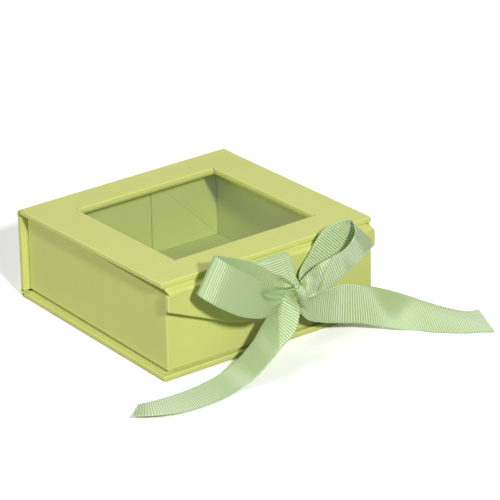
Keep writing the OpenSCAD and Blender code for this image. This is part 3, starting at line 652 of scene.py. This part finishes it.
def ribbon(name, rows, pleats, fold, ribs_and_stripes, lanes=26):
    """Ribbed ribbon through rows of (centre, way across, width), gathered in pleats where narrow.
    At a row and a place across it, from -1 to 1, fold(row, v) lifts the surface, and the last function
    says how far the ribs stand up, from pressed flat at 0 to full at 1, and how strongly their painted
    stripes of valley shade and crest highlight show."""
    table = np.array([list(c) + list(s) + [w * RIBBON_W] for c, s, w in rows], float)
    line = smooth_line(table, parts=ROW_PARTS)
    steps = np.linalg.norm(np.diff(line[:, :3], axis=0), axis=1)
    along = np.concatenate([[0], np.cumsum(steps)])
    count = int(along[-1] / RIB * RIB_POINTS)
    at = np.linspace(0, along[-1], count)
    row = np.interp(at, along, np.arange(len(line)) / ROW_PARTS)[:, None]
    line = np.stack([np.interp(at, along, line[:, k]) for k in range(7)], 1)
    centre, side, width = line[:, :3], line[:, 3:6], line[:, 6]
    way = np.gradient(centre, axis=0)
    across = side / np.linalg.norm(side, axis=1)[:, None]
    face = np.cross(across, way)
    face /= np.linalg.norm(face, axis=1)[:, None]
    v = np.linspace(-1, 1, lanes + 1)[None, :]
    share = np.clip(width / RIBBON_W, 0.2, 1)
    pleat = np.sqrt(1 / share ** 2 - 1) * width / (4 * pleats) * ease(0.66, 0.34, share)
    gathers = np.minimum(0.5 * pleat, PLEAT_MOST)[:, None] * np.sin(math.pi * pleats * (v + 1))
    height = gathers + fold(row, v)
    rib = np.abs(np.sin(math.pi * at / RIB))[:, None]
    selvedge = ease(0.0, 0.1, 1 - np.abs(v))
    rib_stand_and_stripes = np.clip(ribs_and_stripes(row, v), 0, 1) * np.ones_like(v)
    lift = THIN + RIB_HIGH * (RIB_MEAN + (rib - RIB_MEAN) * (0.25 + 0.75 * rib_stand_and_stripes)) * (0.5 + 0.5 * selvedge)
    half = width[:, None] / 2 + 0.09 * rib * (1 - selvedge)
    flat = centre[:, None, :] + across[:, None, :] * (v * half)[:, :, None]
    front = flat + face[:, None, :] * (height + lift)[:, :, None]
    back = flat + face[:, None, :] * (height - lift)[:, :, None]
    short = np.maximum(0, THIN + RIB_HIGH - (front[:, :, 2] + back[:, :, 2]) / 2)
    front[:, :, 2] += short
    back[:, :, 2] += short
    n = lanes + 1
    total = count * n
    faces = []
    for i in range(count - 1):
        for j in range(lanes):
            a = i * n + j
            faces.append((a, a + 1, a + n + 1, a + n))
            faces.append((total + a, total + a + n, total + a + n + 1, total + a + 1))
    rim = (list(range(n)) + [i * n + lanes for i in range(1, count)]
           + [(count - 1) * n + j for j in range(lanes - 1, -1, -1)]
           + [i * n for i in range(count - 2, 0, -1)])
    for a, b in zip(rim, rim[1:] + rim[:1]):
        faces.append((b, a, total + a, total + b))
    verts = np.concatenate([front.reshape(-1, 3), back.reshape(-1, 3)])
    o = make(name, verts.tolist(), faces, "flap", RIBBON, weighted=False)
    # Painted shade and highlight: valleys darker, crests lighter, levelled towards PRESSED where the ribs
    # lie flat.
    painted_rib_shade = np.tile((PRESSED + (rib - PRESSED) * rib_stand_and_stripes).reshape(-1), 2)
    thread_marks(o, painted_rib_shade, np.tile(np.repeat(across, n, axis=0), (2, 1)))
    print(name, "length", round(float(along[-1]), 1))
    return o, float(along[-1])


def tail_l_fold(row, v):
    peak = np.interp(row, (0, 1, 2, 3, 4), (0.5, 0.5, 0.45, 0.0, -0.9))
    return np.interp(row, (0, 1, 2, 3, 4, 5), (0.4, 1.4, 2.6, 2.4, 0.6, 0)) * ridge(v, peak)


def loop_l_fold(row, v):
    dent = ease(8.8, 10.3, row) * np.exp(-((v - 0.5) / 0.3) ** 2 - ((row - 10.3) / 0.8) ** 2)
    tongue = np.exp(-((v - 0.1) / 0.25) ** 2 - ((row - 11.2) / 0.7) ** 2)
    return 3.4 * dent - 1.2 * tongue


def loop_r_crease(row):
    """Where the front band's slanting crease crosses a row, from -1 to 1."""
    return np.interp(row, (9.0, 10.8, 11.6), (-1.0, 0.5, 0.8))


def loop_r_fold(row, v):
    """A swell on each side of the slanting crease, the larger one above it."""
    crease = loop_r_crease(row)
    above = np.clip((crease - v) / np.maximum(1 + crease, 0.05), 0, 1)
    below = np.clip((v - crease) / np.maximum(1 - crease, 0.05), 0, 1)
    near = ease(8.8, 9.6, row) * ease(12.4, 11.4, row)
    return -near * (1.3 * np.sin(math.pi * above) ** 0.8 + 0.5 * np.sin(math.pi * below))


def tail_r_fold(row, v):
    return 0.6 * ease(3.0, 0.8, row) * ridge(v, 0.3)


def root_fold(row, v):
    return -1.7 * ease(1.5, 4.0, row) * ridge(v, 0.1)


def bump(x, low, high, soft=0.4):
    """1 between two values, falling off softly outside them."""
    return ease(low - soft, low + soft, x) * ease(high + soft, high - soft, x)


# How far the ribs stand up, zone by zone, and so where their painted stripes of shade and highlight show
# strongly
def root_ribs(row, v):
    return 0.9 + 0 * row


def loop_l_ribs(row, v):
    start = 0.8 * bump(row, 0.5, 2.2, 0.3) * bump(v, -0.6, 0.8, 0.2)
    tongue = bump(row, 10.8, 12.0) * bump(v, -0.3, 0.4, 0.2)
    return 0.12 + start + 0.4 * bump(row, 6.3, 7.7) + 0.5 * tongue


def loop_r_ribs(row, v):
    gap = 1 - 0.9 * np.exp(-((v - loop_r_crease(row)) / 0.22) ** 2) * bump(row, 9.0, 11.2)
    front = 0.5 * bump(row, 7.2, 8.2) + 0.85 * bump(row, 8.6, 11.2)
    return 0.15 + 0.85 * bump(row, -1, 4.9, 0.3) + gap * front


def tail_l_ribs(row, v):
    edge = np.interp(row, (0, 1, 2, 3, 4.2), (0.5, 0.5, 0.45, 0.1, -1.1))
    turned_over = 0.9 * ease(edge + 0.12, edge - 0.12, v) * bump(row, 0.6, 4.2, 0.5)
    return 0.1 + turned_over + 0.55 * ease(6.8, 8.2, row)


def tail_r_ribs(row, v):
    start = ease(0.4, 1.6, row - 0.5 * v) * ease(5.2, 4.4, row)
    return 0.12 + 0.7 * start + 0.6 * ease(6.0, 7.0, row)


def placed(rows, reach, to_table=False):
    """Rows in millimetres. To the table, heights are shares of the knot's height above it."""
    out = []
    for c, s, w in rows:
        c = np.array(c)
        if to_table:
            out.append(((KNOT[0] + c[0] * reach, KNOT[1] + c[1] * reach, c[2] * KNOT[2]), s, w))
        else:
            out.append((KNOT + c * reach, s, w))
    return out


root_span = np.array((RIBBON_W, FLAP_HINGE.y - KNOT[1], KNOT_DROP))
root_start = np.array((KNOT[0], FLAP_HINGE.y, FLAP_HINGE.z))
root_rows = [(root_start + np.array(c) * root_span, s, w) for c, s, w in ROOT]
RIBBONS = [
    ("ribbon_root_strand", root_rows, "ribbon_root", 2.0, root_fold, root_ribs),
    ("bow_loop_l", placed(LOOP_L, LOOP), "bow_loop_left", 2.0, loop_l_fold, loop_l_ribs),
    ("bow_loop_r", placed(LOOP_R, LOOP), "bow_loop_right", 1.5, loop_r_fold, loop_r_ribs),
    ("ribbon_tail_l", placed(TAIL_L, TAIL, to_table=True), "ribbon_tail_left", 1.5, tail_l_fold,
     tail_l_ribs),
    ("ribbon_tail_r", placed(TAIL_R, TAIL, to_table=True), "ribbon_tail_right", 1.5, tail_r_fold,
     tail_r_ribs),
]
for name, rows, node, pleats, fold, ribs_and_stripes in RIBBONS:
    piece, length = ribbon(name, rows, pleats, fold, ribs_and_stripes)
    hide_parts(node)

# The knot's width and height. A ring: centre from the knot and two half widths, in shares of them
KNOT_WIDE, KNOT_HIGH = 5.0, 9.4
KNOT_RINGS = [
    ((-0.26, -0.50, -0.62), 0.08, 0.12), ((-0.28, -0.53, -0.50), 0.22, 0.30),
    ((-0.33, -0.56, -0.22), 0.38, 0.52), ((-0.43, -0.56, 0.06), 0.46, 0.64),
    ((-0.55, -0.54, 0.24), 0.42, 0.58), ((-0.64, -0.48, 0.38), 0.28, 0.40),
    ((-0.68, -0.42, 0.46), 0.10, 0.16),
]
# How steeply the knot's ribs climb across it
KNOT_SLANT = 0.8


def knot_piece():
    """The wrap of the knot: a pillow whose slanting ribs run across the strand that goes round it."""
    table = smooth_line([list(c) + [a, b] for c, a, b in KNOT_RINGS], parts=14)
    sides = 72
    verts, faces, painted_rib_shade, sideways = [], [], [], []
    for x, y, z, a, b in table:
        for j in range(sides):
            t = 2 * math.pi * j / sides
            px = (x + a * math.cos(t)) * KNOT_WIDE
            py = (y + b * math.sin(t)) * KNOT_WIDE
            pz = z * KNOT_HIGH
            rib = abs(math.sin(math.pi * (pz - KNOT_SLANT * px) / RIB))
            out = RIB_HIGH * rib * min(1, 4 * a)
            verts.append((KNOT[0] + px + out * math.cos(t), KNOT[1] + py + out * math.sin(t),
                          KNOT[2] + pz))
            # The rib height also sets the knot's painted valley shade and crest highlight.
            painted_rib_shade.append(rib)
            along = Vector((-a * math.sin(t), b * math.cos(t), -KNOT_SLANT * a * math.sin(t)))
            sideways.append(along.normalized())
    rings = len(table)
    for k in range(rings - 1):
        for j in range(sides):
            a, b = k * sides + j, k * sides + (j + 1) % sides
            faces.append((a, b, b + sides, a + sides))
    faces.append(tuple(range(sides - 1, -1, -1)))
    faces.append(tuple((rings - 1) * sides + j for j in range(sides)))
    o = make("bow_knot_wrap", verts, faces, "flap", RIBBON, weighted=False)
    thread_marks(o, painted_rib_shade, sideways)
    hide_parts("bow_knot")


knot_piece()

# CAD nodes that keep their shape
LOOKS = {
    "cover_paper": LID_PAPER, "lining_paper": IN_PAPER, "grey_board": GREY, "steel_disc": STEEL,
    "magnet": STEEL, "adhesive_tape": TAPE, "clear_film": FILM, "ribbon": RIBBON,
}
slots = {s["node"]: s["material_slot"] for s in frame["record"]["subparts"]}
for node, o in frame["nodes"].items():
    for s in o.material_slots:
        s.material = LOOKS[slots[node]]

# Floor, lights, camera
# LIT is what the floor and the world light the object with, SEEN is what shows of them
FLOOR_HALF = 0.6
FLOOR_LIT = (0.2, 0.2, 0.2, 1)
FLOOR_SEEN = (1.5, 1.5, 1.5, 1)
WHITE = (1, 1, 1, 1)
WORLD_LIT, WORLD_SEEN = 0.08, 1.0


def seen_ray(tree):
    """1 for a ray from the camera, from a mirror or through glass, else 0."""
    rays = tree.nodes.new("ShaderNodeLightPath")
    total = None
    for kind in ("Is Glossy Ray", "Is Transmission Ray"):
        add = tree.nodes.new("ShaderNodeMath")
        add.operation = "MAXIMUM"
        if total is None:
            link(tree, rays, "Is Camera Ray", add, 0)
        else:
            link(tree, total, "Value", add, 0)
        link(tree, rays, kind, add, 1)
        total = add
    return total


def floor():
    """A pale floor just under the box, which keeps the box's shadow."""
    mesh = bpy.data.meshes.new("floor")
    ways = ((-1, -1), (1, -1), (1, 1), (-1, 1))
    mesh.from_pydata([(x * FLOOR_HALF, y * FLOOR_HALF, -0.0001) for x, y in ways], [], [(0, 1, 2, 3)])
    o = bpy.data.objects.new("floor", mesh)
    bpy.context.collection.objects.link(o)
    m, tree, bsdf = new_material("pale_floor")
    colour = tree.nodes.new("ShaderNodeMix")
    colour.data_type = "RGBA"
    colour.inputs[MIX_A].default_value = FLOOR_LIT
    colour.inputs[MIX_B].default_value = FLOOR_SEEN
    link(tree, seen_ray(tree), "Value", colour, "Factor")
    tree.links.new(colour.outputs[MIX_COLOUR], bsdf.inputs["Base Color"])
    bsdf.inputs["Roughness"].default_value = 0.9
    bsdf.inputs["Specular IOR Level"].default_value = 0.1
    mesh.materials.append(m)


floor()

world = bpy.data.worlds.new("studio")
bpy.context.scene.world = world
world.use_nodes = True
tree = world.node_tree
back = tree.nodes["Background"]
back.inputs["Color"].default_value = WHITE
back.inputs["Strength"].default_value = WORLD_LIT
seen = tree.nodes.new("ShaderNodeBackground")
seen.inputs["Color"].default_value = WHITE
seen.inputs["Strength"].default_value = WORLD_SEEN
choose = tree.nodes.new("ShaderNodeMixShader")
link(tree, seen_ray(tree), "Value", choose, 0)
link(tree, back, "Background", choose, 1)
link(tree, seen, "Background", choose, 2)
link(tree, choose, "Shader", tree.nodes["World Output"], "Surface")

# Where all lamps point. A lamp: name, place, size, watts
AIM = (0, 0, 0.02)
LAMPS = [
    ("key", (-0.32, -1.33, 0.84), 0.12, 20),
    ("left_fill", (-1.5, 0.15, 0.6), 1.2, 12),
    ("rear_fill", (1.5, 0.7, 0.4), 1.2, 7),
    ("top_fill", (0.15, 0.4, 1.2), 0.5, 3.5),
]


def area_light(name, place, size, watts):
    data = bpy.data.lights.new(name, "AREA")
    data.size = size
    data.energy = watts
    o = bpy.data.objects.new(name, data)
    o.location = place
    o.rotation_euler = (Vector(AIM) - Vector(place)).to_track_quat("-Z", "Y").to_euler()
    bpy.context.collection.objects.link(o)


for lamp in LAMPS:
    area_light(*lamp)

# The photograph's camera
camera_data = bpy.data.cameras.new("camera")
camera_data.sensor_width = 36
camera_data.lens = 259.2
camera_data.clip_start = 0.01
camera_data.clip_end = 100
camera = bpy.data.objects.new("camera", camera_data)
bpy.context.collection.objects.link(camera)
AZIMUTH, ELEVATION, ROLL = (math.radians(a) for a in (-35.757, 24.324, -1.265))
TARGET = Vector((27.19, 0, 15.75)) * MM
DISTANCE = 1.4381
away = Vector((math.sin(AZIMUTH) * math.cos(ELEVATION), -math.cos(AZIMUTH) * math.cos(ELEVATION),
               math.sin(ELEVATION)))
right = (-away).cross(Vector((0, 0, 1))).normalized()
up = right.cross(-away)
turned = math.cos(ROLL) * right + math.sin(ROLL) * up
upright = -math.sin(ROLL) * right + math.cos(ROLL) * up
place = TARGET + away * DISTANCE
axes = Matrix((turned, upright, away)).transposed()
camera.matrix_world = Matrix.Translation(place) @ axes.to_4x4()
bpy.context.scene.camera = camera
bpy.context.scene.view_settings.view_transform = "Standard"
